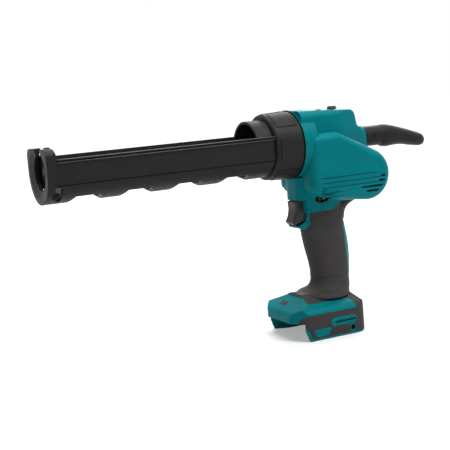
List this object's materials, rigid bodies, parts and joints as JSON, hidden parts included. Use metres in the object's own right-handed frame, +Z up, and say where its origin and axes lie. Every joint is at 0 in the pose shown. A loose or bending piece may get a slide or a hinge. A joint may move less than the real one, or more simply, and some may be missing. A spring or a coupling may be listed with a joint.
{
  "type": "cordless caulking tool",
  "caption": "Battery pistol-grip tool that drives a geared push rod through an open, turnable cartridge trough to press out sealant, with trigger, lock-off button and speed dial.",
  "frame": {"origin": "middle of the battery foot's lower face, below the trigger", "axes": "+X towards the nozzle along the push rod, +Y to the tool's left, +Z up the grip"},
  "size_m": [0.4368, 0.078, 0.2356],
  "materials": {
    "shell": "fine satin teal moulding",
    "holder": "satin black glass-filled moulding",
    "dark_trim": "satin charcoal",
    "rubber": "matt soft grip",
    "bearing_plastic": "plain black",
    "blackened_steel": "blackened",
    "steel": "ground",
    "brass": "bright",
    "ferrite": "sintered",
    "board": "circuit board",
    "clear": "clear moulded lens",
    "lead": "insulated wire"
  },
  "bodies": {
    "tool": {"housing_left": "shell", "housing_right": "shell", "grip_cover_left": "rubber", "grip_cover_right": "rubber", "foot_bumper_left": "rubber", "foot_bumper_right": "rubber", "nose_sleeve": "bearing_plastic", "front_bush": "bearing_plastic", "rear_bush": "bearing_plastic", "gear_plate_right": "steel", "gear_plate_left": "steel", "motor_bracket": "steel", "gear_pillars": "steel", "pillar_bolts": "steel", "pinion_bearings": "steel", "countershaft": "steel", "motor_can": "steel", "motor_magnets": "ferrite", "motor_end_cap": "bearing_plastic", "motor_bearings": "steel", "switch_body": "bearing_plastic", "trigger_spring": "steel", "dial_board": "board", "terminal_block": "bearing_plastic", "battery_contacts": "brass", "control_board": "board", "led_lens": "clear", "led_board": "board", "battery_leads": "lead", "motor_leads": "lead", "housing_screws": "blackened_steel", "hook_inserts": "blackened_steel"},
    "holder": {"cartridge_holder": "holder"},
    "ring": {"holder_ring": "dark_trim"},
    "rod": {"push_rod": "steel", "piston": "blackened_steel", "piston_screw": "blackened_steel", "rod_handle": "dark_trim", "handle_pin": "steel"},
    "output": {"rack_pinion": "steel", "output_gear": "steel"},
    "drive": {"drive_pinion": "steel"},
    "reduction": {"reduction_gear": "steel"},
    "rotor": {"motor_armature": "steel", "motor_shaft": "steel", "motor_pinion": "brass", "cooling_fan": "bearing_plastic"},
    "trigger": {"trigger": "dark_trim"},
    "lock": {"lock_off_button": "dark_trim"},
    "dial": {"speed_dial": "dark_trim"}
  },
  "joints": [
    {"name": "rod_slide", "type": "slide", "parent": "tool", "child": "rod", "axis": [1, 0, 0], "range_m": [-0.216, 0]},
    {"name": "pinion_spin", "type": "hinge", "parent": "tool", "child": "output", "pos_m": [-0.0117, 0, 0.187], "axis": [0, 1, 0], "range_deg": [-1460, 85]},
    {"name": "drive_spin", "type": "hinge", "parent": "tool", "child": "drive", "pos_m": [-0.03269, 0, 0.17536], "axis": [0, 1, 0], "range_deg": [-340, 5840]},
    {"name": "rotor_spin", "type": "hinge", "parent": "tool", "child": "rotor", "pos_m": [-0.05499, 0, 0.163], "axis": [0, 1, 0], "continuous": true},
    {"name": "reduction_spin", "type": "hinge", "parent": "tool", "child": "reduction", "pos_m": [-0.03269, 0, 0.17536], "axis": [0, 1, 0], "continuous": true},
    {"name": "trigger_pull", "type": "slide", "parent": "tool", "child": "trigger", "axis": [-1, 0, 0], "range_m": [0, 0.006], "stiffness_N_per_m": 900, "springref_m": -0.004, "deforming": ["trigger_spring"]},
    {"name": "lock_slide", "type": "slide", "parent": "tool", "child": "lock", "axis": [0, 1, 0], "range_m": [0, 0.007]},
    {"name": "dial_turn", "type": "hinge", "parent": "tool", "child": "dial", "pos_m": [-0.035, 0, 0.23], "axis": [0, 0, 1], "range_deg": [0, 240]},
    {"name": "holder_turn", "type": "hinge", "parent": "tool", "child": "holder", "pos_m": [0.1, 0, 0.2], "axis": [1, 0, 0], "continuous": true},
    {"name": "ring_turn", "type": "hinge", "parent": "tool", "child": "ring", "pos_m": [0.036, 0, 0.2], "axis": [1, 0, 0], "range_deg": [0, 60]}
  ],
  "couplings": [
    {"joint": "pinion_spin", "follows": "rod_slide", "rad_per_m": 111.11},
    {"joint": "drive_spin", "follows": "rod_slide", "rad_per_m": -444.44},
    {"joint": "reduction_spin", "follows": "rotor_spin", "ratio": -0.16438}
  ]
}
